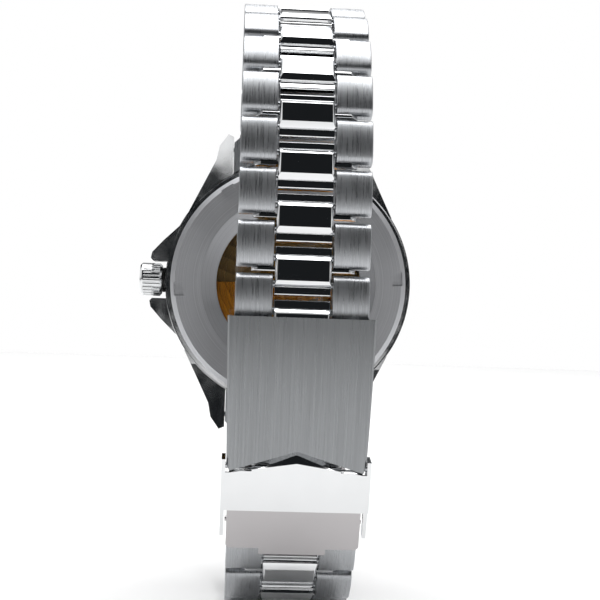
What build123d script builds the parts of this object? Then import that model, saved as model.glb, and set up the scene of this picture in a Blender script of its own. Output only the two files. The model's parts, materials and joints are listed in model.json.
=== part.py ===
from build123d import *
import math
import os

# Automatic diver's wristwatch on a three-row bracelet with a fold-over clasp.
# +Z points to 12 o'clock, the case back faces -Y, the dial faces +Y, the crown is at -X.
# The origin is the middle of the case back's flat outer plane.  Millimetres.

# ---- driving dimensions -------------------------------------------------------------
CASE_RADIUS = 20.75
LUG_WIDTH = 20.0
LUG_TIP_Z = 24.65
LUG_GAP = 0.1                    # between an end link and a lug
CROWN_AXIS_Y = 5.4
CROWN_RADIUS = 2.8
CROWN_LENGTH = 3.7
CROWN_INNER_X = -21.45           # the crown's face nearest the case
CROWN_FLUTES = 28

BACK_RADIUS = 19.85              # case back flange
BACK_FLAT_RADIUS = 19.05         # outer edge of the flat ring
BACK_DISH_RADIUS = 14.7          # where the conical dish starts
BACK_WINDOW_RADIUS = 12.15
BACK_THREAD_RADIUS = 18.9
BACK_SLOTS = 6
BACK_SLOT_FIRST_DEG = 4.5

BEZEL_RADIUS = 20.3
BEZEL_CLICKS = 120
NECK_RADIUS = 16.8               # spigot of the mid-case that the bezel turns on
CRYSTAL_RADIUS = 15.45
DIAL_RADIUS = 14.9
MOVEMENT_RADIUS = 13.7
BALANCE_PLACE = (5.6, -5.4)      # x, z of the balance staff

PITCH = 7.2                      # bracelet, from one hinge pin to the next but one
BRACELET_WIDTH = 18.0
LINK_THICKNESS = 3.0
OUTER_LENGTH = 6.35
OUTER_INNER_X = 4.02
CENTRE_WIDTH = 7.6
CENTRE_LENGTH = 6.6
CENTRE_FLAT = 2.85
CENTRE_RAISED = 4.4
PIN_RADIUS = 0.5
WING_GAP = 0.02                    # between a centre piece's wing and the outer pieces
RUNNING_BORE = 0.55
LUG_HINGE = (2.5, 27.0)          # y, z of the first hinge pin, mirrored below

CLASP_BEND = 95.0                # radius of the clasp's outer face along the bracelet
CLASP_FACE_Y = -42.6             # outer face of the cover at its upper end
CLASP_TOP_Z = -5.0
COVER_LENGTH = 20.9
COVER_NOTCH = 2.9                # depth of the V in the cover's lower end
COVER_HALF_TOP = 9.9
COVER_HALF_LOW = 9.4
COVER_ROOF = 1.0
NOTCH_HALF = 9.0                 # half the width of the V
COVER_DEPTH = 4.3
WALL = 0.65
BLADE = 0.9

# tilt of each link from the vertical, in degrees, counted up from the clasp and then
# round to the case; the two links nearest the case close the loop by themselves
UPPER_TILTS = [1, 3, 6, 12, 22, 36, 50, 66, 85, 107]
# the same, counted down from the clasp: the first is the short link at the clasp
LOWER_TILTS = [28, 44, 65, 87, 109, 131]


# ---- helpers ------------------------------------------------------------------------
def write(shape, node):
    os.makedirs("parts", exist_ok=True)
    export_step(shape, os.path.join("parts", node + ".step"))


def turned(*points):
    """Solid of revolution about the Y axis from (radius, y) points."""
    return revolve(make_face(Polyline(*points, close=True)), axis=Axis.Y)


def ring(inner, outer, low, high):
    return turned((inner, low), (outer, low), (outer, high), (inner, high))


def disc(radius, low, high, x=0.0, z=0.0):
    """Cylinder along Y between two heights."""
    plane = Plane(origin=(x, low, z), x_dir=(1, 0, 0), z_dir=(0, 1, 0))
    return extrude(plane * Circle(radius), high - low)


def bar(radius, x0, x1, y, z):
    """Cylinder along X between two places."""
    plane = Plane(origin=(x0, y, z), x_dir=(0, 1, 0), z_dir=(1, 0, 0))
    return extrude(plane * Circle(radius), x1 - x0)


def plan(points, low, high):
    """Outline of (x, z) points carried along Y from low to high."""
    wire = Polyline(*[(x, low, z) for x, z in points], close=True)
    return extrude(make_face(wire), amount=high - low, dir=(0, 1, 0))


def side(points, x0, x1):
    """Outline of (y, z) points carried along X from x0 to x1."""
    wire = Polyline(*[(x0, y, z) for y, z in points], close=True)
    return extrude(make_face(wire), amount=x1 - x0, dir=(1, 0, 0))


def carried(face, x0, x1):
    """A face drawn at x = 0 in the YZ plane, carried along X from x0 to x1."""
    return Pos(x0, 0, 0) * extrude(face, amount=x1 - x0, dir=(1, 0, 0))


def sided(shape):
    """The shape and its mirror image across x = 0."""
    return [shape, mirror(shape, Plane.YZ)]


def solids(*shapes):
    """Separate pieces that share one node."""
    return Compound([piece for shape in shapes for piece in shape.solids()])


def polar(radius, degrees):
    turn = math.radians(degrees)
    return radius * math.cos(turn), radius * math.sin(turn)


# ---- watch head ---------------------------------------------------------------------
def make_case_back():
    thread_low, thread_high, flange_high = 1.2, 3.2, 1.2
    dish_depth, seat_low, seat_radius = 0.8, 0.8, 12.95
    body = turned((BACK_WINDOW_RADIUS, dish_depth), (BACK_DISH_RADIUS, 0),
                  (BACK_FLAT_RADIUS, 0), (BACK_RADIUS, 0.55), (BACK_RADIUS, flange_high),
                  (BACK_THREAD_RADIUS, thread_low), (BACK_THREAD_RADIUS, thread_high),
                  (17.4, thread_high), (17.4, 2.0), (seat_radius, 2.0),
                  (seat_radius, seat_low + 0.25), (BACK_WINDOW_RADIUS, seat_low + 0.25))
    slot_depth, slot_width, slot_length = 0.45, 2.3, 1.7
    for number in range(BACK_SLOTS):
        slot = Pos(BACK_FLAT_RADIUS - slot_length / 2 + 0.2, slot_depth / 2 - 0.5, 0)
        cutter = slot * Box(slot_length, slot_depth + 1.0, slot_width)
        body -= Rot(0, -(BACK_SLOT_FIRST_DEG + 60 * number), 0) * cutter
    return body


def make_case_back_crystal():
    return disc(12.9, 1.05, 1.85)


def make_case_back_gasket():
    return revolve(Pos(19.35, 1.2 + 0.2) * Circle(0.2), axis=Axis.Y)


def lug_outline():
    inner = LUG_WIDTH / 2
    return [(inner, 15.0), (inner, 24.25), (inner + 0.9, LUG_TIP_Z), (12.35, 22.7),
            (12.8, 20.4), (17.1, 11.7), (14.0, 11.7)]


def make_mid_case():
    back_y, shoulder_y, neck_top, floor_y = 0.6, 8.6, 10.2, 1.2
    body = turned((0, back_y), (20.6, back_y), (CASE_RADIUS, 1.6), (CASE_RADIUS, 7.9),
                  (20.3, shoulder_y), (NECK_RADIUS, shoulder_y), (NECK_RADIUS, neck_top),
                  (0, neck_top))
    tip_low, tip_high = (0, -0.35, LUG_TIP_Z), (0, 2.6, LUG_TIP_Z + 0.3)
    lug_side = make_face(
        Polyline((0, 0.8, 8.0), (0, 0.8, 14.0))
        + ThreePointArc((0, 0.8, 14.0), (0, 0.45, 19.5), tip_low)
        + Line(tip_low, tip_high)
        + ThreePointArc(tip_high, (0, 6.3, 20.0), (0, 8.4, 11.5))
        + Polyline((0, 8.4, 11.5), (0, 8.4, 8.0), (0, 0.8, 8.0)))
    lug = plan(lug_outline(), -2, 10) & carried(lug_side, 8.0, 20.0)
    guard = plan([(-18.2, 9.6), (-21.3, 6.6), (-23.1, 4.6), (-23.3, 3.6), (-22.9, 3.15),
                  (-18.2, 3.15)], 1.9, 7.8)
    for piece in sided(lug) + [guard]:
        body += piece
        body += mirror(piece, Plane.XY)
    groove = ring(19.14, 19.56, floor_y - 0.2, floor_y + 0.42)
    cavity = turned((0, back_y - 1), (20.5, back_y - 1), (20.5, floor_y), (18.95, floor_y),
                    (18.95, 3.4), (16.1, 3.4), (16.1, 7.0), (15.85, 7.0),
                    (15.85, neck_top + 1), (0, neck_top + 1))
    body -= cavity
    body -= groove
    body -= bar(1.5, -24, -14, CROWN_AXIS_Y, 0)
    for end in (1, -1):
        for hand in (1, -1):
            body -= bar(0.45, hand * 9.5, hand * 11.4, 3.2, end * 22.5)
    return body


def make_crown_tube():
    return (bar(1.5, -21.2, -16.4, CROWN_AXIS_Y, 0)
            - bar(0.85, -22, -14, CROWN_AXIS_Y, 0))


def make_crown_gasket():
    return (bar(2.1, -21.3, -20.9, CROWN_AXIS_Y, 0)
            - bar(1.5, -22, -20, CROWN_AXIS_Y, 0))


def make_crown():
    outer_x = CROWN_INNER_X - CROWN_LENGTH
    body = bar(CROWN_RADIUS, outer_x, CROWN_INNER_X, CROWN_AXIS_Y, 0)
    rim = body.edges().filter_by(GeomType.CIRCLE)
    body = chamfer(rim, 0.35)
    flute = bar(0.2, outer_x + 0.55, CROWN_INNER_X - 0.3, 0, 0)
    for number in range(CROWN_FLUTES):
        across, up = polar(CROWN_RADIUS + 0.03, 360 / CROWN_FLUTES * number)
        body -= Pos(0, CROWN_AXIS_Y + across, up) * flute
    body -= bar(1.85, CROWN_INNER_X - 2.4, CROWN_INNER_X + 1, CROWN_AXIS_Y, 0)
    return body - bar(0.65, CROWN_INNER_X - 3.05, CROWN_INNER_X, CROWN_AXIS_Y, 0)


def make_winding_stem():
    stem = bar(0.6, CROWN_INNER_X - 3.0, -10.0, CROWN_AXIS_Y, 0)
    square = Pos(-8.9, CROWN_AXIS_Y, 0) * Box(2.4, 0.8, 0.8)
    return stem + square


def make_bezel():
    inner, low, high = NECK_RADIUS + 0.1, 8.95, 11.3
    body = turned((inner, low), (BEZEL_RADIUS - 0.3, low), (BEZEL_RADIUS, low + 0.3),
                  (BEZEL_RADIUS, high - 0.7), (19.5, high - 0.1), (19.5, high - 0.5),
                  (17.2, high - 0.15), (inner, high - 0.15))
    notch_radius = 0.3
    cutter = disc(notch_radius, low - 1, high + 1)
    for number in range(BEZEL_CLICKS // 2):
        x, z = polar(BEZEL_RADIUS + 0.08, 360 / (BEZEL_CLICKS // 2) * number)
        body -= Pos(x, 0, z) * cutter
    return body - disc(0.75, 10.4, 12, 0, 18.3)


def make_bezel_insert():
    body = turned((17.3, 11.17), (19.4, 10.85), (19.4, 11.0), (17.3, 11.38))
    mark = Box(0.45, 1.0, 1.5)
    for number in range(12):
        if number:
            body -= Rot(0, 30 * number, 0) * (Pos(0, 11.55, 18.3) * mark)
    return body - disc(0.75, 10.4, 12, 0, 18.3)


def make_bezel_pip():
    return disc(0.7, 10.45, 11.35, 0, 18.3)


def make_bezel_click_spring():
    body = ring(17.3, 19.4, 8.62, 8.75)
    tongue = Pos(0, 8.685, 18.35) * Box(3.0, 0.13, 0.6)
    cut = Pos(0, 8.7, 18.35) * Box(4.6, 1, 1.1)
    return body - cut + Pos(0.85, 0, 0) * tongue


def make_crystal():
    low, rim, top = 9.4, 11.6, 12.2
    dome_radius = (CRYSTAL_RADIUS ** 2 + (top - rim) ** 2) / (2 * (top - rim))
    dome = Pos(0, top - dome_radius, 0) * Sphere(dome_radius)
    return disc(CRYSTAL_RADIUS, low, top + 1) & dome


def make_crystal_gasket():
    return ring(CRYSTAL_RADIUS, 15.85, 9.4, 10.9)


def make_chapter_ring():
    body = turned((14.9, 7.5), (15.8, 7.5), (15.8, 9.35), (15.2, 9.35), (13.6, 7.7),
                  (13.6, 7.5))
    return body


def make_dial():
    return disc(DIAL_RADIUS, 7.05, 7.45) - disc(0.75, 6, 8)


def make_hour_markers():
    low, high, place = 7.45, 7.7, 11.6
    pieces = []
    for number in range(12):
        if number == 0:
            mark = plan([(-1.0, place + 1.2), (1.0, place + 1.2), (0, place - 1.3)], low, high)
        elif number % 3 == 0:
            mark = Pos(0, (low + high) / 2, place) * Box(1.1, high - low, 2.6)
        else:
            mark = disc(0.85, low, high, 0, place)
        pieces.append(Rot(0, 30 * number, 0) * mark)
    return solids(*pieces)


def make_hand(low, thick, reach, tail, half_width, hub, bore, clock_deg):
    """Baton hand, turned clockwise from 12 o'clock as seen on the dial."""
    blade = plan([(-half_width, -tail), (half_width, -tail), (half_width, reach * 0.82),
                  (0, reach), (-half_width, reach * 0.82)], low, low + thick)
    body = blade + disc(hub, low, low + thick)
    return Rot(0, -clock_deg, 0) * (body - disc(bore, low - 1, low + thick + 1))


def make_hand_arbor():
    return disc(0.35, 6.9, 9.05)


def make_movement_holder():
    body = ring(MOVEMENT_RADIUS + 0.1, 16.05, 3.5, 6.95)
    return body - bar(1.3, -18, -12, CROWN_AXIS_Y, 0)


def make_main_plate():
    body = disc(MOVEMENT_RADIUS, 4.6, 6.9)
    body -= bar(0.85, -15, -7.0, CROWN_AXIS_Y, 0)
    x, z = BALANCE_PLACE
    body -= disc(4.6, 4.5, 5.6, x, z)
    return body


def make_movement_bridge():
    body = disc(13.2, 3.35, 4.6)
    x, z = BALANCE_PLACE
    body -= disc(5.6, 3, 5, x, z)
    body -= Pos(x + 4.5, 4, z - 4.5) * Rot(0, 45, 0) * Box(12, 4, 7)
    for jewel_x, jewel_z in ((-5.2, 3.4), (-2.0, -7.6), (5.0, 6.6), (-9.0, -3.6)):
        body -= disc(0.55, 3, 3.6, jewel_x, jewel_z)
    return body


def make_balance_cock():
    x, z = BALANCE_PLACE
    arm = plan([(-1.2, -1.2), (3.5, -1.6), (5.3, -1.2), (5.3, 1.2), (3.5, 1.6),
                (-1.2, 1.2)], 3.4, 4.0)
    pillar = disc(0.45, 3.4, 4.6, 4.7, 0)
    return Pos(x, 0, z) * Rot(0, 44, 0) * (arm + pillar - disc(0.2, 3, 4.5))


def make_balance_wheel():
    x, z = BALANCE_PLACE
    wheel = disc(4.0, 4.35, 4.75) - disc(3.4, 4, 5)
    for turn in (0, 90):
        wheel += Rot(0, turn, 0) * (Pos(0, 4.55, 0) * Box(7.0, 0.4, 0.5))
    wheel += disc(0.6, 4.2, 5.3)
    wheel += disc(0.15, 3.5, 5.4)
    return Pos(x, 0, z) * wheel


def make_rotor():
    """Oscillating weight: a half disc with a heavy rim, on a round hub."""
    reach = 12.6
    plate = disc(reach, 2.25, 2.75)
    rim = ring(10.3, reach, 2.75, 3.15)
    half = Pos(0, 2.7, -8.0) * Box(2 * reach + 2, 3, 16.0)
    body = (plate + rim) & half
    for hand in (1, -1):
        window = plan([(hand * 2.2, -3.0), (hand * 7.2, -1.6), (hand * 7.8, -4.2),
                       (hand * 4.2, -7.8), (hand * 2.0, -7.8)], 1, 4)
        body -= window
    body += disc(2.6, 2.25, 2.75)
    return body - disc(1.4, 1, 4)


def make_rotor_bearing():
    return disc(1.3, 2.05, 3.35) - disc(0.4, 1.9, 2.3)


# ---- where the bracelet runs, in the YZ plane ----------------------------------------
def clasp_point(along, depth):
    """A place in the clasp: distance along its outer face, and depth under that face."""
    turn = along / CLASP_BEND
    reach = CLASP_BEND - depth
    centre_y = CLASP_FACE_Y + CLASP_BEND
    return centre_y - reach * math.cos(turn), CLASP_TOP_Z - reach * math.sin(turn)


def step(place, length, tilt, down=False):
    turn = math.radians(tilt)
    rise = -math.cos(turn) if down else math.cos(turn)
    return place[0] + length * math.sin(turn), place[1] + length * rise


def elbow(start, finish, length, bulge_z):
    """The joint between two equal links from start to finish, on the side of bulge_z."""
    half_y, half_z = (finish[0] - start[0]) / 2, (finish[1] - start[1]) / 2
    half = math.hypot(half_y, half_z)
    rise = math.sqrt(length ** 2 - half ** 2)
    normal_y, normal_z = -half_z / half, half_y / half
    if normal_z * bulge_z < 0:
        normal_y, normal_z = -normal_y, -normal_z
    return start[0] + half_y + rise * normal_y, start[1] + half_z + rise * normal_z


SPRING_BAR = clasp_point(2.9, 2.85)
UPPER_HINGE, LOWER_HINGE = LUG_HINGE, (LUG_HINGE[0], -LUG_HINGE[1])
TONGUE_PIN = clasp_point(33.0, 3.6)


def upper_pins():
    """Hinge pins from the case to the clasp's spring bar."""
    places = [SPRING_BAR]
    for tilt in UPPER_TILTS:
        places.append(step(places[-1], PITCH, tilt))
    places.append(elbow(places[-1], UPPER_HINGE, PITCH, 1))
    places.append(UPPER_HINGE)
    return places[::-1]


def lower_pins():
    """Hinge pins from the case to the clasp's tongue; the last link is half a pitch."""
    places = [TONGUE_PIN]
    for number, tilt in enumerate(LOWER_TILTS):
        places.append(step(places[-1], PITCH if number else PITCH / 2, tilt, down=True))
    places.append(elbow(places[-1], LOWER_HINGE, PITCH, -1))
    places.append(LOWER_HINGE)
    return places[::-1]


def on_link(shape, start, finish, lower=False):
    """Move a link drawn along +Z with its outer face to +Y onto its two pins."""
    turn = math.degrees(math.atan2(-(finish[0] - start[0]), finish[1] - start[1]))
    flip = Rot(0, 0, 180) if lower else Rot(0, 0, 0)
    return Pos(0, start[0], start[1]) * Rot(turn, 0, 0) * flip * shape


# ---- bracelet, drawn along +Z from the hinge pin at 0, outer face to +Y ----------------
def make_outer_piece():
    low, high = PITCH / 4 - OUTER_LENGTH / 2, PITCH / 4 + OUTER_LENGTH / 2
    half, shoulder = LINK_THICKNESS / 2, 0.95
    outline = make_face(
        ThreePointArc((0, shoulder, low), (0, half, (low + high) / 2), (0, shoulder, high))
        + Polyline((0, shoulder, high), (0, -half, high), (0, -half, low),
                   (0, shoulder, low)))
    by_y = outline.vertices().group_by(Axis.Y)
    outline = fillet(by_y[-1], 1.3)
    outline = fillet(outline.vertices().group_by(Axis.Y)[0], 0.8)
    body = carried(outline, OUTER_INNER_X, BRACELET_WIDTH / 2)
    outer_side = body.faces().sort_by(Axis.X)
    body = chamfer(outer_side[-1].edges() + outer_side[0].edges(), 0.15)
    for place in (0, PITCH / 2):
        body -= bar(PIN_RADIUS, 0, 8.7, 0, place)
    return body


def make_centre_piece():
    middle = PITCH * 3 / 4
    half, half_wide = LINK_THICKNESS / 2, CENTRE_WIDTH / 2
    ledge, bevel_low, side_low, bevel = 0.5, 0.85, 1.1, 0.33
    under_radius, ledge_radius = 0.9, 0.2
    low, high = middle - CENTRE_LENGTH / 2, middle + CENTRE_LENGTH / 2
    base = make_face(Polyline((0, -half, low), (0, ledge, low), (0, ledge, high),
                              (0, -half, high), close=True))
    by_y = base.vertices().group_by(Axis.Y)
    base = fillet(by_y[0], under_radius)
    base = fillet(base.vertices().group_by(Axis.Y)[-1], ledge_radius)
    body = carried(base, -half_wide, half_wide)
    raised, flat = CENTRE_RAISED / 2, CENTRE_FLAT / 2
    crest = side([(0, middle - raised), (bevel_low, middle - raised), (half, middle - flat),
                  (half, middle + flat), (bevel_low, middle + raised), (0, middle + raised)],
                 -half_wide, half_wide)
    front = Polyline((-half_wide, -half, 0), (-half_wide, side_low, 0),
                     (-half_wide + bevel, half, 0), (half_wide - bevel, half, 0),
                     (half_wide, side_low, 0), (half_wide, -half, 0), close=True)
    body += crest & extrude(make_face(front), amount=20, dir=(0, 0, 1))
    wing_start, wing_thick = PITCH / 4 + OUTER_LENGTH / 2 + WING_GAP, 0.5
    wing_low, wing_foot, wing_high, top_reach, foot_reach = -0.5, -0.2, 0.6, 6.15, 7.0
    wing = Polyline((-foot_reach, wing_low, 0), (-foot_reach, wing_foot, 0),
                    (-top_reach, wing_high, 0), (top_reach, wing_high, 0),
                    (foot_reach, wing_foot, 0), (foot_reach, wing_low, 0), close=True)
    body += Pos(0, 0, wing_start) * extrude(make_face(wing), amount=wing_thick, dir=(0, 0, 1))
    body -= bar(PIN_RADIUS, -20, 20, 0, PITCH / 2)
    return body - bar(RUNNING_BORE, -20, 20, 0, PITCH)


def make_pin(place):
    return bar(PIN_RADIUS, -8.7, 8.7, 0, place)


def make_link():
    """One pitch of bracelet: two outer pieces, the centre piece and their two pins."""
    return solids(*sided(make_outer_piece()), make_centre_piece(), make_pin(0),
                  make_pin(PITCH / 2))


def make_short_link():
    """The pair of outer pieces at the clasp, with the pins of both their hinges."""
    return solids(*sided(make_outer_piece()), make_pin(0), make_pin(PITCH / 2))


def make_end_link():
    """Solid end link of the 12 o'clock side: fills the lugs and carries a tongue."""
    hinge_y, hinge_z = LUG_HINGE
    half_wide = LUG_WIDTH / 2 - LUG_GAP
    end_gap = PITCH / 4 + OUTER_LENGTH / 2 - PITCH
    end_z = hinge_z + end_gap
    body = side([(1.1, 15.5), (1.0, 21.0), (1.15, end_z), (4.5, end_z - 0.1),
                 (5.8, 22.6), (6.9, 19.5), (7.4, 15.5)], -half_wide, half_wide)
    narrow = BRACELET_WIDTH / 2
    for hand in (1, -1):
        wedge = plan([(hand * narrow, 30), (hand * narrow, LUG_TIP_Z - 0.3),
                      (hand * (half_wide + 1), 22.5), (hand * (half_wide + 1), 30)], -1, 9)
        body -= wedge
    tongue = side([(1.05, 22.0), (1.05, hinge_z), (3.95, hinge_z), (5.2, 22.0)],
                  -CENTRE_WIDTH / 2, CENTRE_WIDTH / 2)
    tongue += bar(1.45, -CENTRE_WIDTH / 2, CENTRE_WIDTH / 2, hinge_y, hinge_z)
    body += tongue
    body -= disc(CASE_RADIUS + 0.1, -3, 12)
    body -= bar(0.8, -20, 20, 3.2, 22.5)
    return body - bar(RUNNING_BORE, -20, 20, hinge_y, hinge_z)


def make_lug_spring_bars():
    one = bar(0.75, -9.7, 9.7, 3.2, 22.5)
    for hand in (1, -1):
        one += bar(0.4, hand * 9.7, hand * 11.2, 3.2, 22.5)
    return solids(one, mirror(one, Plane.XY))


# ---- clasp ----------------------------------------------------------------------------
def clasp_band(along0, along1, depth0, depth1, half_wide):
    """Strip that follows the clasp's bend between two distances and two depths."""
    def arc(depth, first, last):
        places = [clasp_point(value, depth) for value in (first, (first + last) / 2, last)]
        return ThreePointArc(*[(0, y, z) for y, z in places])

    corners = [(0, *clasp_point(along, depth)) for along, depth in
               ((along1, depth0), (along1, depth1), (along0, depth1), (along0, depth0))]
    face = make_face(arc(depth0, along0, along1) + Line(corners[0], corners[1])
                     + arc(depth1, along1, along0) + Line(corners[2], corners[3]))
    return carried(face, -half_wide, half_wide)


def clasp_bar(radius, x0, x1, along, depth):
    y, z = clasp_point(along, depth)
    return bar(radius, x0, x1, y, z)


def clasp_z(along):
    return clasp_point(along, 0)[1]


FOLD_AT, FOLD_DEPTH = 10.0, 2.95           # hinge of the two folding blades
COVER_HINGE_AT, COVER_HINGE_DEPTH = 16.4, 2.3
LATCH_AT, LATCH_DEPTH = 20.3, 0.55         # pivot of the safety latch
LATCH_CLEARANCE = 0.87                     # room for the cover's corner as the latch turns
KNUCKLE = 1.25
PLATE_DEPTH = 1.0                          # lower plate under the cover's face
CLASP_SLICE = (CLASP_FACE_Y - 5, CLASP_FACE_Y + 20)


def make_clasp_cover():
    top, low = clasp_z(0), clasp_z(COVER_LENGTH)
    apex = clasp_z(COVER_LENGTH - COVER_NOTCH)
    half = [(0, apex), (NOTCH_HALF, low), (COVER_HALF_LOW, low + 1.0),
            (COVER_HALF_TOP, top), (COVER_HALF_TOP, top + 1)]
    outline = plan(half + [(-x, z) for x, z in half[:0:-1]], *CLASP_SLICE)
    roof = clasp_band(0, COVER_LENGTH + 1, 0, COVER_ROOF, 11) & outline
    inner_top, inner_low = COVER_HALF_TOP - WALL, COVER_HALF_LOW - WALL
    wall_plan = plan([(inner_top, top + 1), (inner_top, top), (inner_low, low - 1),
                      (COVER_HALF_LOW, low - 1), (COVER_HALF_LOW, low + 1.0),
                      (COVER_HALF_TOP, top), (COVER_HALF_TOP, top + 1)], *CLASP_SLICE)
    wall = clasp_band(0, COVER_LENGTH - 0.3, COVER_ROOF / 2, COVER_DEPTH, 11) & wall_plan
    body = roof
    for piece in sided(wall):
        body += piece
    body = chamfer(body.edges().filter_by(lambda e: e.center().Y < CLASP_FACE_Y + 2.4
                                          and abs(e.center().X) > 9.2
                                          and e.length > 10), 0.25)
    for number in range(3):
        body -= clasp_bar(0.5, -20, 20, 2.9 + 2.4 * number, 2.85)
    body -= clasp_bar(PIN_RADIUS, -20, 20, COVER_HINGE_AT, COVER_HINGE_DEPTH)
    return body - clasp_bar(0.4, -20, 20, LATCH_AT, LATCH_DEPTH)


def make_middle_blade():
    half = 4.4
    body = clasp_band(FOLD_AT, COVER_HINGE_AT, 1.75, 1.75 + BLADE, half)
    body += clasp_bar(KNUCKLE, -half, half, FOLD_AT, FOLD_DEPTH)
    body += clasp_bar(0.95, -half, half, COVER_HINGE_AT, COVER_HINGE_DEPTH)
    body -= clasp_bar(RUNNING_BORE, -20, 20, FOLD_AT, FOLD_DEPTH)
    return body - clasp_bar(RUNNING_BORE, -20, 20, COVER_HINGE_AT, COVER_HINGE_DEPTH)


def make_bottom_blade():
    """Lower blade with its fold knuckles, the end plate and the tongue for the bracelet."""
    half, blade_depth = 6.9, 3.45
    body = clasp_band(FOLD_AT + 1.7, 27.0, blade_depth, blade_depth + BLADE, half)
    for hand in (1, -1):
        x0, x1 = (4.65, half) if hand > 0 else (-half, -4.65)
        body += clasp_bar(KNUCKLE, x0, x1, FOLD_AT, FOLD_DEPTH)
        strip = clasp_band(FOLD_AT, FOLD_AT + 2.2, blade_depth, FOLD_DEPTH + KNUCKLE, 20)
        keep = Pos((x0 + x1) / 2, -40, -10) * Box(x1 - x0, 60, 60)
        body += strip & keep
    plate_low, block_low, tongue_low = 32.9, 31.0, 33.8
    block = clasp_band(25.4, block_low, PLATE_DEPTH, blade_depth + BLADE, 9.15)
    lip = clasp_band(30.0, plate_low, PLATE_DEPTH, PLATE_DEPTH + 1.0, 9.15)
    shoulder_z, corner = clasp_z(plate_low), 0.8
    lip &= plan([(-9.2, -20), (-9.2, shoulder_z + corner), (-9.2 + corner, shoulder_z),
                 (9.2 - corner, shoulder_z), (9.2, shoulder_z + corner), (9.2, -20)],
                -60, -20)
    tongue = clasp_band(30.0, tongue_low, PLATE_DEPTH, PLATE_DEPTH + 1.0, 4.6)
    knuckle_half = CENTRE_WIDTH / 2
    tongue += clasp_bar(1.4, -knuckle_half, knuckle_half, 33.0, 3.6)
    neck = clasp_band(30.5, 33.4, PLATE_DEPTH + 0.5, 4.6, knuckle_half)
    body += block + lip + tongue + neck
    for hand in (1, -1):
        body += clasp_bar(0.35, hand * 9.0, hand * 9.4, 29.2, 2.6)
    body -= clasp_bar(RUNNING_BORE, -8.9, 8.9, 33.0, 3.6)
    return body - clasp_bar(PIN_RADIUS, -20, 20, FOLD_AT, FOLD_DEPTH)


def make_safety_latch():
    """Bridge with a V-shaped upper edge and two side legs that clip on the end plate."""
    inner, outer = 9.52, 10.05
    rise, floor, low = 0.1, 1.25, 26.6
    crest_apex, toe_apex, toe_depth, ends = 19.7, 18.2, 0.85, 21.15
    root, clear_from = 22.4, 6.0

    half = [(0, clasp_z(crest_apex)), (NOTCH_HALF, clasp_z(ends)), (outer, clasp_z(ends)),
            (outer, clasp_z(low + 10))]
    below_v = plan(half + [(-x, z) for x, z in half[:0:-1]], *CLASP_SLICE)
    body = clasp_band(17.0, low, -rise, 0.7, outer) & below_v

    def bevel_section(x, crest, toe):
        places = [clasp_point(crest, -rise), clasp_point(toe, toe_depth),
                  clasp_point(toe, floor), clasp_point(root, floor), clasp_point(root, -rise)]
        return make_face(Polyline(*[(x, y, z) for y, z in places], close=True))

    wedge = loft([bevel_section(0, crest_apex, toe_apex),
                  bevel_section(NOTCH_HALF, ends, ends - 0.02)], ruled=True)
    for piece in sided(wedge):
        body += piece
    for x0, x1 in ((clear_from, outer), (-outer, -clear_from)):
        body -= clasp_bar(LATCH_CLEARANCE, x0, x1, LATCH_AT, LATCH_DEPTH)
    lip = clasp_band(25.9, 31.0, 1.0, 2.4, outer) + clasp_band(19.3, low, -rise, 2.4, outer)
    leg = lip & Pos((inner + outer) / 2, -35, -20) * Box(outer - inner, 60, 60)
    for piece in sided(leg):
        body += piece
    return body - clasp_bar(0.46, -20, 20, LATCH_AT, LATCH_DEPTH)


def make_latch_pins():
    one = clasp_bar(0.4, 8.8, 10.05, LATCH_AT, LATCH_DEPTH)
    return solids(*sided(one))


def make_fold_pin():
    return clasp_bar(PIN_RADIUS, -6.9, 6.9, FOLD_AT, FOLD_DEPTH)


def make_cover_pin():
    return clasp_bar(PIN_RADIUS, -9.3, 9.3, COVER_HINGE_AT, COVER_HINGE_DEPTH)


def make_clasp_spring_bar():
    """Spring bar at the clasp, its tips drawn back clear of the cover's walls."""
    return bar(RUNNING_BORE, -8.85, 8.85, *SPRING_BAR)


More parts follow.
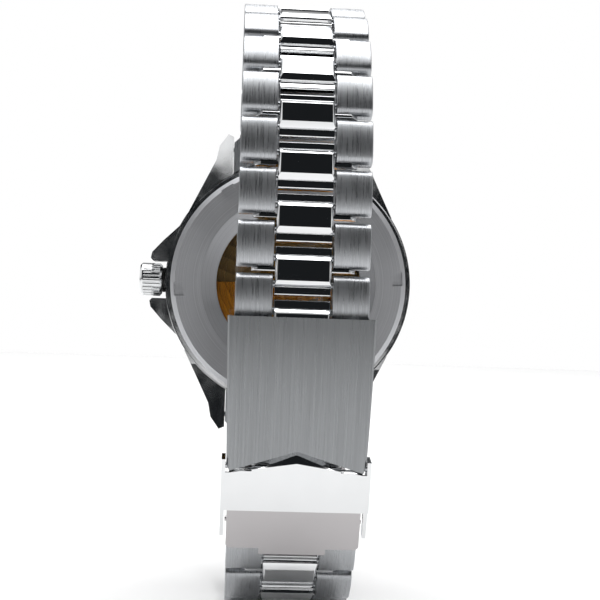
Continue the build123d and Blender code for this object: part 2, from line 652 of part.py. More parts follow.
# ---- write everything -----------------------------------------------------------------
def main():
    head = {
        "mid_case": make_mid_case, "case_back": make_case_back,
        "case_back_crystal": make_case_back_crystal, "case_back_gasket": make_case_back_gasket,
        "crown_tube": make_crown_tube, "crown_gasket": make_crown_gasket, "crown": make_crown,
        "winding_stem": make_winding_stem, "bezel": make_bezel,
        "bezel_insert": make_bezel_insert, "bezel_pip": make_bezel_pip,
        "bezel_click_spring": make_bezel_click_spring, "crystal": make_crystal,
        "crystal_gasket": make_crystal_gasket, "chapter_ring": make_chapter_ring,
        "dial": make_dial, "hour_markers": make_hour_markers, "hand_arbor": make_hand_arbor,
        "movement_holder": make_movement_holder, "main_plate": make_main_plate,
        "movement_bridge": make_movement_bridge, "balance_cock": make_balance_cock,
        "balance_wheel": make_balance_wheel, "rotor": make_rotor,
        "rotor_bearing": make_rotor_bearing, "lug_spring_bars": make_lug_spring_bars,
        "clasp_cover": make_clasp_cover, "middle_blade": make_middle_blade,
        "bottom_blade": make_bottom_blade, "safety_latch": make_safety_latch,
        "latch_pins": make_latch_pins, "fold_pin": make_fold_pin,
        "cover_pin": make_cover_pin, "clasp_spring_bar": make_clasp_spring_bar,
    }
    for node, make in head.items():
        write(make(), node)
    write(make_hand(7.95, 0.18, 8.2, 1.6, 0.75, 1.1, 0.45, 305), "hour_hand")
    write(make_hand(8.35, 0.18, 12.2, 1.8, 0.6, 1.0, 0.45, 60), "minute_hand")
    write(make_hand(8.75, 0.15, 12.6, 4.0, 0.14, 0.6, 0.45, 210), "second_hand")
    end_link = make_end_link()
    write(end_link, "end_link_12")
    write(mirror(end_link, Plane.XY), "end_link_6")

    link, short_link = make_link(), make_short_link()
    upper, lower = upper_pins(), lower_pins()
    for number in range(len(upper) - 1):
        write(on_link(link, upper[number], upper[number + 1]), f"upper_link_{number + 1}")
    for number in range(len(lower) - 1):
        shape = short_link if number == len(lower) - 2 else link
        placed = on_link(shape, lower[number], lower[number + 1], lower=True)
        write(placed, f"lower_link_{number + 1}")
    for name, places in (("upper", upper), ("lower", lower)):
        print(name, [(round(y, 2), round(z, 2)) for y, z in places])


main()
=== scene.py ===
"""Automatic diver's wristwatch on a closed three-row steel bracelet, case back forward."""

import json
import math

import bmesh
import bpy
from bpy.props import FloatProperty, FloatVectorProperty, PointerProperty
from mathutils import Matrix, Vector


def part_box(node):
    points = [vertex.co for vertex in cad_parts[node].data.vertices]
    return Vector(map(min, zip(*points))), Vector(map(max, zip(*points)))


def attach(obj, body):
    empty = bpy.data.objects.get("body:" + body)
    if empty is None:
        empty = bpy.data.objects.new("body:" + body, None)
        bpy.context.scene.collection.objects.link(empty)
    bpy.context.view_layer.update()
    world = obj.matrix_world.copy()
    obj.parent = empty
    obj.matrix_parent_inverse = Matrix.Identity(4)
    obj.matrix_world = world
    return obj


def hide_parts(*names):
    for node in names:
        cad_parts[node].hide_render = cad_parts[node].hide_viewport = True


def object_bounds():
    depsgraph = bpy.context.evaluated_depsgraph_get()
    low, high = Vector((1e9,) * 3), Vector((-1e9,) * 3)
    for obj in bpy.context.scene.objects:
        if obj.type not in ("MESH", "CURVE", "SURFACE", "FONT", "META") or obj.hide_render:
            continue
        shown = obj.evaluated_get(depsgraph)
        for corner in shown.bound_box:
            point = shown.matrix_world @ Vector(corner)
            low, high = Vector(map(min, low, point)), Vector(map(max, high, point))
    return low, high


bl_info = {
    "name": "Diver's Wristwatch",
    "version": (1, 0, 0),
    "blender": (4, 5, 0),
    "location": "View3D > Sidebar > Watch",
    "description": "Builds a steel diver's wristwatch with its bracelet, clasp and movement",
    "category": "Object",
}

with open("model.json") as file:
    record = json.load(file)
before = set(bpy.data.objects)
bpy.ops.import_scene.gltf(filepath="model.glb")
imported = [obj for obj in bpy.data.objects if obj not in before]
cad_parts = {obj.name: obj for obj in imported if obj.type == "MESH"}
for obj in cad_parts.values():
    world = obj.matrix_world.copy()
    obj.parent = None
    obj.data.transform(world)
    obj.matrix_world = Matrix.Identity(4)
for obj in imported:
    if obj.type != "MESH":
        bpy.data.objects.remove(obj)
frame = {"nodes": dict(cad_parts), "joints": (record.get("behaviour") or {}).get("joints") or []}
cad_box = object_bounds()
NODES = frame["nodes"]
JOINTS = {joint["name"]: joint for joint in frame["joints"]}

MM = 0.001
MIX_A, MIX_B, MIX_OUT = 6, 7, 2            # the colour sockets of a mix node
NOISE_LOW, NOISE_HIGH = 0.3, 0.7           # most of a noise lies between these
UPPER_LINKS, LOWER_LINKS = 12, 8
LAST_LOWER_LINK = f"lower_link_{LOWER_LINKS}"


def linear(text):
    """An sRGB hex colour as linear red, green and blue."""
    values = [int(text[place:place + 2], 16) / 255 for place in (1, 3, 5)]
    return [v / 12.92 if v <= 0.04045 else ((v + 0.055) / 1.055) ** 2.4 for v in values]


def opaque(colour):
    return (colour[0], colour[1], colour[2], 1.0)


def shade(colour, amount):
    """The colour made lighter or darker by a factor."""
    return (colour[0] * amount, colour[1] * amount, colour[2] * amount, 1.0)


# ---- nodes ------------------------------------------------------------------------------
def add(tree, kind, inputs=(), **settings):
    """Adds a node. Inputs are pairs of a socket and its value or the output that feeds it."""
    node = tree.nodes.new(kind)
    for name, value in settings.items():
        setattr(node, name, value)
    for socket, value in inputs:
        if isinstance(value, bpy.types.NodeSocket):
            tree.links.new(value, node.inputs[socket])
        else:
            node.inputs[socket].default_value = value
    return node


def start_material(name):
    """An empty material and its tree."""
    material = bpy.data.materials.new(name)
    material.use_nodes = True
    material.node_tree.nodes.clear()
    return material, material.node_tree


def end_material(tree, inputs):
    """Gives the tree its shader and output."""
    shader = add(tree, "ShaderNodeBsdfPrincipled", inputs)
    add(tree, "ShaderNodeOutputMaterial", [("Surface", shader.outputs[0])])


def streaks(tree, across, along, detail=2.0):
    """Long streaks in the piece's own X and Z, as an output from 0 to 1. Sizes in millimetres:
    across is the width of a streak in X and along its length in Z."""
    place = add(tree, "ShaderNodeTexCoord").outputs["Object"]
    own = add(tree, "ShaderNodeObjectInfo").outputs["Random"]
    sized = add(tree, "ShaderNodeMapping", [
        ("Vector", place), ("Scale", (1 / (across * MM), 1 / (4 * along * MM), 1 / (along * MM)))])
    return add(tree, "ShaderNodeTexNoise", [
        ("Vector", sized.outputs[0]), ("W", own), ("Scale", 1.0), ("Detail", detail),
        ("Roughness", 0.6)], noise_dimensions="4D").outputs[0]


def clouds(tree, size, detail=3.0):
    """Soft uneven patches of that size in millimetres, as an output from 0 to 1."""
    place = add(tree, "ShaderNodeTexCoord").outputs["Object"]
    return add(tree, "ShaderNodeTexNoise", [
        ("Vector", place), ("Scale", 1 / (size * MM)), ("Detail", detail)]).outputs[0]


def rings(tree, width, detail=3.0):
    """Fine circles about the Y axis, as lathe marks are, as an output from 0 to 1."""
    place = add(tree, "ShaderNodeTexCoord").outputs["Object"]
    flat = add(tree, "ShaderNodeMapping", [("Vector", place), ("Scale", (1, 0, 1))])
    reach = add(tree, "ShaderNodeVectorMath", [(0, flat.outputs[0])], operation="LENGTH")
    return add(tree, "ShaderNodeTexNoise", [
        ("W", reach.outputs["Value"]), ("Scale", 1 / (width * MM)), ("Detail", detail)],
        noise_dimensions="1D").outputs[0]


def between(tree, factor, low, high):
    """A value that follows the factor from low to high."""
    return add(tree, "ShaderNodeMapRange", [
        ("Value", factor), ("From Min", NOISE_LOW), ("From Max", NOISE_HIGH),
        ("To Min", low), ("To Max", high)]).outputs[0]


def mixed(tree, factor, first, second):
    """A colour that follows the factor from the first colour to the second."""
    return add(tree, "ShaderNodeMix", [(0, factor), (MIX_A, first), (MIX_B, second)],
               data_type="RGBA").outputs[MIX_OUT]


def edge(tree, value, dark, bright):
    """Rises smoothly from 0 where the value is dark to 1 where it is bright."""
    return add(tree, "ShaderNodeMapRange", [
        ("Value", value), ("From Min", dark), ("From Max", bright)],
        interpolation_type="SMOOTHSTEP").outputs[0]


def joined(tree, first, second, how):
    """Two values joined by that arithmetic."""
    return add(tree, "ShaderNodeMath", [(0, first), (1, second)], operation=how).outputs[0]


def bumped(tree, height, depth, strength=1.0):
    """A surface that rises with the height; depth is in millimetres."""
    return add(tree, "ShaderNodeBump", [
        ("Height", height), ("Distance", depth * MM), ("Strength", strength)]).outputs[0]


# ---- materials --------------------------------------------------------------------------
def brushed_steel(name, colour, across=0.16, along=9.0, roughness=0.3, contrast=0.09):
    """Stainless steel drawn along the bracelet on an abrasive belt. The eye sees fine parallel
    lines and a soft sheen that spreads across them; the lines are drawn a little coarser than
    real ones, about 0.16 mm, so that they show."""
    material, tree = start_material(name)
    grain = streaks(tree, across, along)
    fine = streaks(tree, across / 2, along / 2)
    tone = mixed(tree, between(tree, grain, 0, 1), shade(colour, 1 - contrast),
                 shade(colour, 1 + contrast))
    end_material(tree, [
        ("Base Color", tone), ("Metallic", 1.0), ("Anisotropic", 0.75),
        ("Anisotropic Rotation", 0.25),
        ("Roughness", between(tree, fine, roughness - 0.06, roughness + 0.08)),
        ("Normal", bumped(tree, fine, 0.006, 0.5))])
    return material


def polished_steel(name, colour, roughness=0.045, contrast=0.03):
    """Stainless steel buffed to a mirror. The eye sees sharp black and white reflections, with
    a faint haze where it has been handled."""
    material, tree = start_material(name)
    haze = clouds(tree, 3.0)
    hairlines = streaks(tree, 0.12, 4.0)
    tone = mixed(tree, haze, shade(colour, 1 - contrast), shade(colour, 1 + contrast))
    end_material(tree, [
        ("Base Color", tone), ("Metallic", 1.0),
        ("Roughness", between(tree, haze, roughness * 0.6, roughness * 1.6)),
        ("Normal", bumped(tree, hairlines, 0.0008, 0.4))])
    return material


def turned_steel(name, colour, roughness=0.42, width=0.22, depth=0.006, anisotropic=0.5):
    """Stainless steel finished on a lathe. The eye sees very fine circles and a satin glow
    that fans out from the centre."""
    material, tree = start_material(name)
    marks = rings(tree, width)
    patches = clouds(tree, 6.0)
    tangent = add(tree, "ShaderNodeTangent", direction_type="RADIAL", axis="Y").outputs[0]
    tone = mixed(tree, between(tree, marks, 0, 1), shade(colour, 0.9), shade(colour, 1.07))
    end_material(tree, [
        ("Base Color", tone), ("Metallic", 1.0), ("Anisotropic", anisotropic),
        ("Tangent", tangent),
        ("Roughness", between(tree, patches, roughness - 0.05, roughness + 0.06)),
        ("Normal", bumped(tree, marks, depth, 0.5))])
    return material


def striped_metal(name, colour, spacing, roughness=0.24, turn=0.5):
    """Rhodium or gilt plate with straight waves ground across it, each a few millimetres wide.
    The eye sees broad parallel stripes that catch the light one after another."""
    material, tree = start_material(name)
    place = add(tree, "ShaderNodeTexCoord").outputs["Object"]
    turned_place = add(tree, "ShaderNodeMapping", [
        ("Vector", place), ("Rotation", (0, turn, 0))]).outputs[0]
    waves = add(tree, "ShaderNodeTexWave", [
        ("Vector", turned_place), ("Scale", math.tau / 20 / (spacing * MM)),
        ("Distortion", 0.0)], wave_profile="SAW").outputs[1]
    fine = rings(tree, 0.12)
    tone = mixed(tree, waves, shade(colour, 0.72), shade(colour, 1.1))
    end_material(tree, [
        ("Base Color", tone), ("Metallic", 1.0), ("Anisotropic", 0.4),
        ("Roughness", between(tree, fine, roughness - 0.06, roughness + 0.1)),
        ("Normal", bumped(tree, waves, 0.03, 0.5))])
    return material


def grained_metal(name, colour, roughness=0.3, size=0.25, contrast=0.12):
    """Plated or blasted metal with an even fine grain; the eye sees a soft, slightly grainy
    sheen."""
    material, tree = start_material(name)
    grit = clouds(tree, size, 4.0)
    tone = mixed(tree, between(tree, grit, 0, 1), shade(colour, 1 - contrast),
                 shade(colour, 1 + contrast))
    end_material(tree, [
        ("Base Color", tone), ("Metallic", 1.0),
        ("Roughness", between(tree, grit, roughness - 0.06, roughness + 0.08)),
        ("Normal", bumped(tree, grit, 0.01, 0.3))])
    return material


def sapphire(name, tint):
    """Synthetic sapphire, polished: clear, with a brighter reflection than glass has."""
    material, tree = start_material(name)
    film = clouds(tree, 5.0)
    end_material(tree, [
        ("Base Color", opaque(tint)), ("Transmission Weight", 1.0), ("IOR", 1.77),
        ("Roughness", between(tree, film, 0.0, 0.02))])
    return material


def nitrile_rubber(name, colour):
    """Moulded nitrile rubber: dull black with a faint bloom."""
    material, tree = start_material(name)
    bloom = clouds(tree, 0.8)
    tone = mixed(tree, between(tree, bloom, 0, 1), shade(colour, 0.8), shade(colour, 1.5))
    end_material(tree, [
        ("Base Color", tone), ("Roughness", between(tree, bloom, 0.5, 0.7)),
        ("Normal", bumped(tree, bloom, 0.01, 0.4))])
    return material


def glazed(name, colour, roughness=0.22, coat=0.6, width=0.3):
    """A hard glossy coat over a turned surface: anodised aluminium, ceramic or lacquer. The
    eye sees a deep colour, a clear highlight and a trace of the circles below."""
    material, tree = start_material(name)
    marks = rings(tree, width)
    tone = mixed(tree, between(tree, marks, 0, 1), shade(colour, 0.85), shade(colour, 1.25))
    end_material(tree, [
        ("Base Color", tone), ("Roughness", between(tree, marks, roughness, roughness + 0.1)),
        ("Coat Weight", coat), ("Coat Roughness", 0.05),
        ("Normal", bumped(tree, marks, 0.002, 0.3))])
    return material


def luminous_paint(name, colour):
    """Luminous pigment set in lacquer: pale, matt and faintly granular."""
    material, tree = start_material(name)
    grains = clouds(tree, 0.15, 4.0)
    tone = mixed(tree, between(tree, grains, 0, 1), shade(colour, 0.9), shade(colour, 1.04))
    end_material(tree, [
        ("Base Color", tone), ("Roughness", 0.6), ("Subsurface Weight", 0.1),
        ("Subsurface Scale", 0.3 * MM), ("Normal", bumped(tree, grains, 0.01, 0.5))])
    return material


def moulded_plastic(name, colour):
    """Moulded acetal: pale grey, slightly waxy, with a fine spark-eroded grain."""
    material, tree = start_material(name)
    grain = clouds(tree, 0.3, 4.0)
    tone = mixed(tree, between(tree, grain, 0, 1), shade(colour, 0.93), shade(colour, 1.04))
    end_material(tree, [
        ("Base Color", tone), ("Roughness", between(tree, grain, 0.38, 0.5)),
        ("Normal", bumped(tree, grain, 0.008, 0.4))])
    return material


def pale_floor(name, colour):
    """Matt pale board: even and bright, with the faintest mottle."""
    material, tree = start_material(name)
    mottle = clouds(tree, 60.0)
    tone = mixed(tree, mottle, shade(colour, 0.98), shade(colour, 1.0))
    end_material(tree, [("Base Color", tone), ("Roughness", 0.8)])
    return material


# ---- meshes -----------------------------------------------------------------------------
def finish_mesh(mesh, name, material, softness, sharp_deg=32.0, segments=2):
    """An object from a mesh in millimetres, with softened edges and smooth curved faces."""
    mesh.transform(Matrix.Scale(MM, 4))
    mesh.materials.append(material)
    thing = bpy.data.objects.new(name, mesh)
    bpy.context.scene.collection.objects.link(thing)
    if softness:
        soften = thing.modifiers.new("softened edges", "BEVEL")
        soften.width = softness * MM
        soften.segments = segments
        soften.limit_method = "ANGLE"
        soften.angle_limit = math.radians(sharp_deg)
        bpy.context.view_layer.update()
        shaped = bpy.data.meshes.new_from_object(
            thing.evaluated_get(bpy.context.evaluated_depsgraph_get()))
        thing.modifiers.clear()
        thing.data = shaped
    thing.data.shade_smooth()
    thing.data.set_sharp_from_angle(angle=math.radians(sharp_deg))
    return thing


def rounded(corners, steps=6):
    """Outline points from (a, b, radius) corners, each rounded to its radius."""
    outline = []
    count = len(corners)
    for number, (a, b, radius) in enumerate(corners):
        here = Vector((a, b))
        if not radius:
            outline.append(here)
            continue
        back = (Vector(corners[number - 1][:2]) - here).normalized()
        ahead = (Vector(corners[(number + 1) % count][:2]) - here).normalized()
        half = back.angle(ahead) / 2
        centre = here + (back + ahead).normalized() * (radius / math.sin(half))
        tangent = radius / math.tan(half)
        first, last = here + back * tangent - centre, here + ahead * tangent - centre
        start = math.atan2(first.y, first.x)
        sweep = math.atan2(last.y, last.x) - start
        sweep = (sweep + math.pi) % math.tau - math.pi
        for step in range(steps + 1):
            turn = start + sweep * step / steps
            outline.append(centre + Vector((math.cos(turn), math.sin(turn))) * radius)
    return outline


def add_prism(shape, outline, x0, x1):
    """Carries an outline of (z, y) points along X."""
    ends = []
    for x in (x0, x1):
        ends.append([shape.verts.new((x, point[1], point[0])) for point in outline])
    count = len(outline)
    for number in range(count):
        after = (number + 1) % count
        shape.faces.new((ends[0][number], ends[0][after], ends[1][after], ends[1][number]))
    shape.faces.new(ends[0][::-1])
    shape.faces.new(ends[1])


def add_loft(shape, levels):
    """Joins rectangles of (half x, low z, high z, y) from the lowest to the highest."""
    rows = []
    for half_x, low_z, high_z, y in levels:
        corners = ((-half_x, low_z), (half_x, low_z), (half_x, high_z), (-half_x, high_z))
        rows.append([shape.verts.new((x, y, z)) for x, z in corners])
    for under, over in zip(rows, rows[1:]):
        for number in range(4):
            after = (number + 1) % 4
            shape.faces.new((under[number], under[after], over[after], over[number]))
    shape.faces.new(rows[0][::-1])
    shape.faces.new(rows[-1])


def add_turned(shape, profile, steps, centre):
    """Turns (along, radius) points about an X axis through the centre, closed at both ends."""
    rows = []
    for along, radius in profile:
        row = []
        for step in range(steps):
            turn = math.tau * step / steps
            place = (along, radius * math.cos(turn), radius * math.sin(turn))
            row.append(shape.verts.new(Vector(place) + Vector(centre)))
        rows.append(row)
    for under, over in zip(rows, rows[1:]):
        for step in range(steps):
            after = (step + 1) % steps
            shape.faces.new((under[step], under[after], over[after], over[step]))
    shape.faces.new(rows[0][::-1])
    shape.faces.new(rows[-1])


def mesh_from(shape, name):
    bmesh.ops.recalc_face_normals(shape, faces=shape.faces)
    mesh = bpy.data.meshes.new(name)
    shape.to_mesh(mesh)
    shape.free()
    return mesh


def place_copy(first, name, matrix, body, nodes):
    """Another object on the first one's mesh, put in place, riding on a body."""
    thing = bpy.data.objects.new(name, first.data)
    bpy.context.scene.collection.objects.link(thing)
    thing.matrix_world = matrix
    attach(thing, body)
    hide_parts(*nodes)
    return thing


def paint(material, *nodes):
    for node in nodes:
        NODES[node].data.materials.clear()
        NODES[node].data.materials.append(material)


# ---- sizes and colours that a user may change ---------------------------------------------
def length_setting(label, text, value):
    return FloatProperty(name=label, description=text, default=value * MM, min=0.0,
                         unit="LENGTH", precision=5)


def colour_setting(label, text, value):
    return FloatVectorProperty(name=label, description=text, default=linear(value), size=3,
                               min=0.0, max=1.0, subtype="COLOR")


class WATCH_PG_bracelet(bpy.types.PropertyGroup):
    pitch: length_setting("Pitch", "Distance between two hinge pins", 7.2)
    half_width: length_setting("Half width", "Half the width of the bracelet", 9.0)
    thickness: length_setting("Thickness", "Thickness of a link", 3.0)
    outer_length: length_setting("Outer length", "Length of an outer piece", 6.35)
    outer_inner: length_setting("Outer start", "Where an outer piece begins, from the middle",
                                4.02)
    centre_half: length_setting("Centre half width", "Half the width of a centre piece", 3.8)
    centre_length: length_setting("Centre length", "Length of a centre piece", 6.6)
    raised_length: length_setting("Raised length", "Length of its raised part", 4.4)
    flat_length: length_setting("Flat length", "Length of its polished flat", 2.85)
    pin_radius: length_setting("Pin radius", "Radius of a hinge pin", 0.5)
    softness: length_setting("Edge softness", "Width of the softened edges", 0.07)


class WATCH_PG_colours(bpy.types.PropertyGroup):
    steel: colour_setting("Steel", "Stainless steel", "#ADAFB2")
    # The clasp cover's colour is the links' steel made darker: painted shade for how dim the cover
    # looks, not a different steel.
    cover: colour_setting("Clasp cover", "Brushed steel of the clasp's cover, darkened as painted shade", "#8F9193")
    mirror: colour_setting("Polished steel", "Buffed stainless steel", "#DCDDDE")
    soft: colour_setting("Buffed steel", "Steel of the folding blades", "#B4B1B2")
    back: colour_setting("Case back", "Satin steel of the case back", "#B7B8BB")
    dish: colour_setting("Dish", "Steel of the case back's dish", "#A9AAAC")
    gilt: colour_setting("Gilt brass", "Plating of the oscillating weight", "#E89A30")
    plate: colour_setting("Movement plate", "Plating of the movement's plates", "#9C7C4C")
    black: colour_setting("Black", "Anodised insert and lacquered dial", "#0B0C0E")
    rubber: colour_setting("Rubber", "Nitrile gaskets", "#101011")
    lume: colour_setting("Luminous paint", "Markers, hands and bezel pip", "#E6EFD8")
    plastic: colour_setting("Holder", "Acetal ring around the movement", "#B9BBBE")
    sapphire: colour_setting("Sapphire", "Tint of the two crystals", "#FBFDFC")
    ruby: colour_setting("Ruby", "Synthetic jewels", "#8E0F2A")
    floor: colour_setting("Floor", "Pale board under the watch", "#F8F8F8")


class WATCH_PG_stage(bpy.types.PropertyGroup):
    camera_back: length_setting("Camera distance", "From the watch's axis to the camera", 197.8)
    camera_side: length_setting("Camera side", "How far the camera stands to the left", 9.4)
    camera_drop: length_setting("Camera drop", "How far the camera is below the middle", 2.65)
    yaw: FloatProperty(name="Yaw", description="Turn of the camera to the right",
                       default=math.radians(3.3), subtype="ANGLE")
    roll: FloatProperty(name="Roll", description="Roll of the camera",
                        default=math.radians(2.0), subtype="ANGLE")
    lens: FloatProperty(name="Lens", description="Focal length in millimetres", default=70.7)
    tent: FloatProperty(name="Tent", description="Brightness of the white tent", default=1.0)
    lamp: FloatProperty(name="Lamp", description="Power of the overhead lamp in watts",
                        default=9.5)


class WATCH_OT_stage(bpy.types.Operator):
    """Lay the pale floor, light the white tent and set the camera"""
    bl_idname = "watch.stage"
    bl_label = "Stage"

    floor_half = 700.0                     # millimetres
    lamp_side, lamp_place = 0.9, (0.0, 0.1, 0.9)
    sensor, near, far = 36.0, 0.01, 50.0

    def execute(self, context):
        scene = context.scene
        settings, colours = scene.watch_stage, scene.watch_colours
        self.lay_floor(colours)
        self.light_tent(scene, settings)
        self.hang_lamp(scene, settings)
        self.set_camera(scene, settings)
        scene.view_settings.view_transform = "Standard"
        scene.view_settings.look = "None"
        return {"FINISHED"}

    def lay_floor(self, colours):
        half, bottom = self.floor_half, cad_box[0][2] / MM
        shape = bmesh.new()
        corners = ((-half, -half), (half, -half), (half, half), (-half, half))
        shape.faces.new([shape.verts.new((x, y, bottom)) for x, y in corners])
        floor = finish_mesh(mesh_from(shape, "floor"), "floor",
                            pale_floor("pale matt board", colours.floor), 0)

    def light_tent(self, scene, settings):
        """A tent that is white above and below and dim at its sides, with a dark opening on
        the case-back side and another on the dial side; the camera sees it as plain white.
        Angles rise from the case-back side over the top, 0 being level, in degrees."""
        dark, white = opaque(linear("#1E2022")), opaque(linear("#FFFFFF"))
        top_front, top_back = (62, 74), (158, 128)
        low_front, low_back = (-19, -29), (-158, -128)
        side_edge, side_tone = (0.74, 0.98), 0.32
        world = bpy.data.worlds.new("white tent")
        scene.world = world
        world.use_nodes = True
        tree = world.node_tree
        tree.nodes.clear()
        place = add(tree, "ShaderNodeTexCoord").outputs["Generated"]
        parts = add(tree, "ShaderNodeSeparateXYZ", [(0, place)]).outputs
        ahead = joined(tree, parts["Y"], -1.0, "MULTIPLY")
        rise = joined(tree, parts["Z"], ahead, "ARCTAN2")
        aside = joined(tree, parts["X"], 0.0, "ABSOLUTE")

        def zone(front, back):
            ends = [edge(tree, rise, math.radians(start), math.radians(full))
                    for start, full in (front, back)]
            return joined(tree, ends[0], ends[1], "MULTIPLY")

        lit = joined(tree, zone(top_front, top_back), zone(low_front, low_back), "MAXIMUM")
        sides = joined(tree, edge(tree, aside, *side_edge), side_tone, "MULTIPLY")
        tone = mixed(tree, joined(tree, lit, sides, "MAXIMUM"), dark, white)
        seen = add(tree, "ShaderNodeLightPath").outputs["Is Camera Ray"]
        backed = mixed(tree, seen, tone, white)
        light = add(tree, "ShaderNodeBackground", [("Color", backed),
                                                  ("Strength", settings.tent)])
        add(tree, "ShaderNodeOutputWorld", [("Surface", light.outputs[0])])

    def hang_lamp(self, scene, settings):
        lamp = bpy.data.lights.new("overhead softbox", "AREA")
        lamp.shape, lamp.size, lamp.size_y = "RECTANGLE", self.lamp_side, self.lamp_side
        lamp.energy = settings.lamp
        hung = bpy.data.objects.new("overhead softbox", lamp)
        scene.collection.objects.link(hung)
        hung.location = self.lamp_place
        hung.visible_camera = False

    def set_camera(self, scene, settings):
        lens = bpy.data.cameras.new("camera")
        lens.lens, lens.sensor_width = settings.lens, self.sensor
        lens.clip_start, lens.clip_end = self.near, self.far
        camera = bpy.data.objects.new("camera", lens)
        scene.collection.objects.link(camera)
        place = Vector((-settings.camera_side, -settings.camera_back, -settings.camera_drop))
        camera.matrix_world = (Matrix.Translation(place)
                               @ Matrix.Rotation(-settings.yaw, 4, "Z")
                               @ Matrix.Rotation(math.pi / 2, 4, "X")
                               @ Matrix.Rotation(settings.roll, 4, "Z"))
        scene.camera = camera


class WATCH_OT_bracelet(bpy.types.Operator):
    """Make the bracelet's links, each with two outer pieces, a centre piece and its pins"""
    bl_idname = "watch.bracelet"
    bl_label = "Bracelet links"

    def execute(self, context):
        sizes, colours = context.scene.watch_bracelet, context.scene.watch_colours
        brushed = brushed_steel("brushed stainless steel, links", colours.steel)
        mirror = polished_steel("polished stainless steel, centre links", colours.mirror)
        pin_steel = grained_metal("ground stainless steel, pins", colours.steel, 0.25)
        outer = self.make_outer_pair(sizes, brushed)
        centre = self.make_centre(sizes, mirror)
        pins = self.make_pins(sizes, pin_steel)
        for name, start, finish, lower in self.places():
            rise = math.atan2(-(finish[1] - start[1]), finish[2] - start[2])
            matrix = Matrix.Translation(start) @ Matrix.Rotation(rise, 4, "X")
            if lower:
                matrix = matrix @ Matrix.Rotation(math.pi, 4, "Z")
            kinds = [(outer, "outer_pair"), (centre, "centre_piece"), (pins, "pins")]
            if name == LAST_LOWER_LINK:
                kinds = [(outer, "outer_pair"), (pins, "pins")]
            for first, word in kinds:
                place_copy(first, f"{name}_{word}", matrix, name, [name])
        for first in (outer, centre, pins):
            bpy.data.objects.remove(first)
        return {"FINISHED"}

    def places(self):
        """Each link's name, its own hinge and the next one."""
        low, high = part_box("clasp_spring_bar")
        spring_bar = (low + high) / 2
        chains = (("upper", UPPER_LINKS, tuple(spring_bar)),
                  ("lower", LOWER_LINKS, tuple(JOINTS["blade_hinge"]["pos_m"])))
        for chain, count, last in chains:
            pins = [tuple(JOINTS[f"{chain}_hinge_{number}"]["pos_m"])
                    for number in range(1, count + 1)] + [last]
            for number in range(count):
                yield (f"{chain}_link_{number + 1}", pins[number], pins[number + 1],
                       chain == "lower")

    def make_outer_pair(self, sizes, material):
        """Two outer pieces: a low crown along the link and well rounded ends."""
        pitch, half = sizes.pitch / MM, sizes.thickness / MM / 2
        middle, reach = pitch / 4, sizes.outer_length / MM / 2
        shoulder, end_radius, under_radius, crown_inset = 0.95, 1.25, 0.8, 1.35
        softness, sharp_deg = 0.13, 50.0
        corners = [(middle - reach, -half, under_radius), (middle - reach, shoulder, end_radius)]
        crown_steps = 6
        crown = reach - crown_inset
        for step in range(crown_steps + 1):
            along = crown * (2 * step / crown_steps - 1)
            rise = half - (half - shoulder) * (along / reach) ** 2
            corners.append((middle + along, rise, 0))
        corners += [(middle + reach, shoulder, end_radius), (middle + reach, -half, under_radius)]
        outline = rounded(corners, 8)
        inner, outer = sizes.outer_inner / MM, sizes.half_width / MM
        shape = bmesh.new()
        add_prism(shape, outline, inner, outer)
        add_prism(shape, outline, -outer, -inner)
        return finish_mesh(mesh_from(shape, "outer_pair"), "outer_pair", material, softness,
                           sharp_deg)

    def make_centre(self, sizes, material):
        """A centre piece: a base with rounded ends, a bevelled crest, and thin wings that
        close the gap between the outer pieces."""
        middle, half = sizes.pitch / MM * 3 / 4, sizes.thickness / MM / 2
        half_wide, reach = sizes.centre_half / MM, sizes.centre_length / MM / 2
        raised, flat = sizes.raised_length / MM / 2, sizes.flat_length / MM / 2
        ledge, bevel_low, side_low, side_bevel = 0.5, 0.85, 1.1, 0.33
        under_radius, ledge_radius, crest_foot, sharp_deg = 0.9, 0.2, 0.2, 20.0
        shape = bmesh.new()
        outline = rounded([(middle - reach, -half, under_radius),
                           (middle - reach, ledge, ledge_radius),
                           (middle + reach, ledge, ledge_radius),
                           (middle + reach, -half, under_radius)], 8)
        add_prism(shape, outline, -half_wide, half_wide)
        share = (side_low - bevel_low) / (half - bevel_low)
        side_reach = raised + (flat - raised) * share
        levels = [(half_wide, middle - raised, middle + raised, crest_foot),
                  (half_wide, middle - raised, middle + raised, bevel_low),
                  (half_wide, middle - side_reach, middle + side_reach, side_low),
                  (half_wide - side_bevel, middle - flat, middle + flat, half)]
        add_loft(shape, levels)
        clearance, wing_thick = 0.02, 0.5
        start = sizes.pitch / MM / 4 + sizes.outer_length / MM / 2 + clearance
        wing_levels = ((7.0, -0.5), (7.0, -0.2), (6.15, 0.6))
        add_loft(shape, [(wide, start, start + wing_thick, height)
                         for wide, height in wing_levels])
        return finish_mesh(mesh_from(shape, "centre_piece"), "centre_piece", material,
                           sizes.softness / MM, sharp_deg)

    def make_pins(self, sizes, material):
        """The link's two pins, with chamfered ends."""
        radius, half, chamfer, steps = sizes.pin_radius / MM, 8.7, 0.15, 24
        profile = [(-half, radius - chamfer), (-half + chamfer, radius),
                   (half - chamfer, radius), (half, radius - chamfer)]
        shape = bmesh.new()
        for along in (0.0, sizes.pitch / MM / 2):
            add_turned(shape, profile, steps, (0.0, 0.0, along))
        return finish_mesh(mesh_from(shape, "pins"), "pins", material, 0)


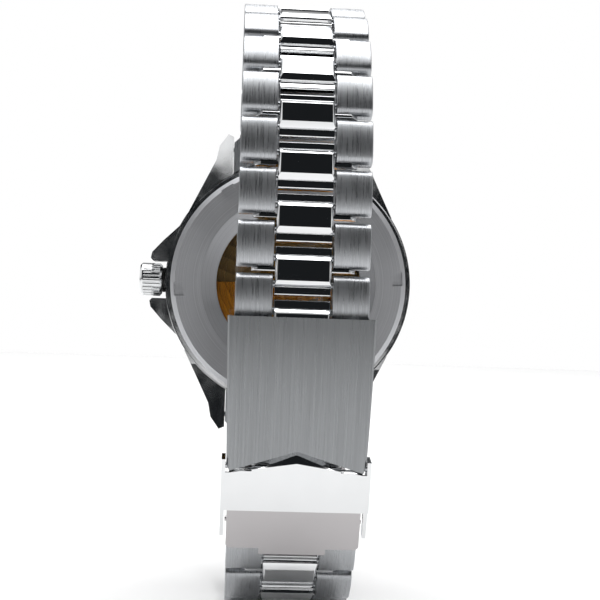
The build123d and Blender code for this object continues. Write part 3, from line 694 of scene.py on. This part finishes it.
class WATCH_OT_clasp(bpy.types.Operator):
    """Finish the folding clasp: brushed cover darkened with painted shade, polished latch, blades
    and pins
    """
    bl_idname = "watch.clasp"
    bl_label = "Clasp"

    def execute(self, context):
        colours = context.scene.watch_colours
        # The cover is the same brushed steel as the links; its darker colour is painted shade.
        cover = brushed_steel("brushed stainless steel, clasp cover", colours.cover, 0.22, 24.0,
                              0.3, 0.08)
        paint(cover, "clasp_cover")
        latch = polished_steel("polished stainless steel, latch", colours.mirror, 0.1)
        paint(latch, "safety_latch")
        blade = polished_steel("buffed stainless steel, blades", colours.soft, 0.16)
        paint(blade, "bottom_blade", "middle_blade")
        pins = grained_metal("ground stainless steel, clasp pins", colours.steel, 0.25)
        paint(pins, "latch_pins", "fold_pin", "cover_pin", "clasp_spring_bar",
              "lug_spring_bars")
        return {"FINISHED"}


class WATCH_OT_case(bpy.types.Operator):
    """Finish the middle of the case, the end links, the crown and their seals"""
    bl_idname = "watch.case"
    bl_label = "Case and crown"

    def execute(self, context):
        colours = context.scene.watch_colours
        case = polished_steel("polished stainless steel, case", colours.mirror, 0.12)
        paint(case, "mid_case", "crown")
        ends = brushed_steel("brushed stainless steel, end links", colours.steel)
        paint(ends, "end_link_12", "end_link_6")
        paint(nitrile_rubber("nitrile rubber", colours.rubber), "crown_gasket",
              "case_back_gasket", "crystal_gasket")
        paint(grained_metal("ground stainless steel, stem", colours.steel, 0.22),
              "crown_tube", "winding_stem")
        return {"FINISHED"}


class WATCH_OT_case_back(bpy.types.Operator):
    """Finish the screwed case back and its window"""
    bl_idname = "watch.case_back"
    bl_label = "Case back"

    def execute(self, context):
        colours = context.scene.watch_colours
        paint(turned_steel("satin turned stainless steel, case back", colours.back),
              "case_back")
        paint(sapphire("polished sapphire, window", colours.sapphire), "case_back_crystal")
        return {"FINISHED"}


class WATCH_OT_movement(bpy.types.Operator):
    """Finish the movement: gilt weight, striped bridge, plates, balance and holder"""
    bl_idname = "watch.movement"
    bl_label = "Movement"

    def execute(self, context):
        colours = context.scene.watch_colours
        paint(striped_metal("gilt brass with ground waves", colours.gilt, 1.6), "rotor")
        paint(striped_metal("plated brass with ground waves", colours.plate, 2.2, 0.3, 1.2),
              "movement_bridge")
        paint(grained_metal("plated brass, grained", colours.plate, 0.35), "main_plate",
              "balance_cock")
        paint(grained_metal("gilt brass, balance", colours.gilt, 0.2), "balance_wheel")
        paint(polished_steel("polished steel, bearing", colours.mirror, 0.1), "rotor_bearing",
              "hand_arbor")
        paint(moulded_plastic("moulded acetal, holder", colours.plastic), "movement_holder")
        return {"FINISHED"}


class WATCH_OT_dial_side(bpy.types.Operator):
    """Finish the bezel, the dial, the hands and the crystal"""
    bl_idname = "watch.dial_side"
    bl_label = "Bezel and dial"

    def execute(self, context):
        colours = context.scene.watch_colours
        paint(polished_steel("polished stainless steel, bezel", colours.mirror, 0.1), "bezel")
        paint(glazed("black anodised aluminium, insert", colours.black, 0.3, 0.3),
              "bezel_insert")
        paint(glazed("black lacquer, dial", colours.black, 0.25, 0.5), "dial", "chapter_ring")
        paint(luminous_paint("luminous paint", colours.lume), "hour_markers", "bezel_pip")
        paint(polished_steel("polished steel, hands", colours.mirror, 0.08), "hour_hand",
              "minute_hand", "second_hand")
        paint(sapphire("polished sapphire, crystal", colours.sapphire), "crystal")
        paint(grained_metal("spring steel", colours.steel, 0.28), "bezel_click_spring")
        return {"FINISHED"}


class WATCH_PT_sidebar(bpy.types.Panel):
    """The watch's pieces, sizes and colours"""
    bl_idname = "WATCH_PT_sidebar"
    bl_label = "Diver's Wristwatch"
    bl_space_type = "VIEW_3D"
    bl_region_type = "UI"
    bl_category = "Watch"

    def draw(self, context):
        for step in STEPS:
            self.layout.operator(step.bl_idname)
        for name in GROUPS:
            settings = getattr(context.scene, name)
            box = self.layout.box()
            for entry in settings.bl_rna.properties:
                if entry.identifier not in ("rna_type", "name"):
                    box.prop(settings, entry.identifier)


STEPS = (WATCH_OT_stage, WATCH_OT_bracelet, WATCH_OT_clasp, WATCH_OT_case, WATCH_OT_case_back,
         WATCH_OT_movement, WATCH_OT_dial_side)
GROUPS = {"watch_bracelet": WATCH_PG_bracelet, "watch_colours": WATCH_PG_colours,
          "watch_stage": WATCH_PG_stage}


def register():
    for group in GROUPS.values():
        bpy.utils.register_class(group)
    for step in STEPS:
        bpy.utils.register_class(step)
    bpy.utils.register_class(WATCH_PT_sidebar)
    for name, group in GROUPS.items():
        setattr(bpy.types.Scene, name, PointerProperty(type=group))


def unregister():
    for name in GROUPS:
        delattr(bpy.types.Scene, name)
    bpy.utils.unregister_class(WATCH_PT_sidebar)
    for step in STEPS:
        bpy.utils.unregister_class(step)
    for group in GROUPS.values():
        bpy.utils.unregister_class(group)


def main():
    register()
    for step in STEPS:
        family, action = step.bl_idname.split(".")
        getattr(getattr(bpy.ops, family), action)()


if __name__ == "__main__":
    main()
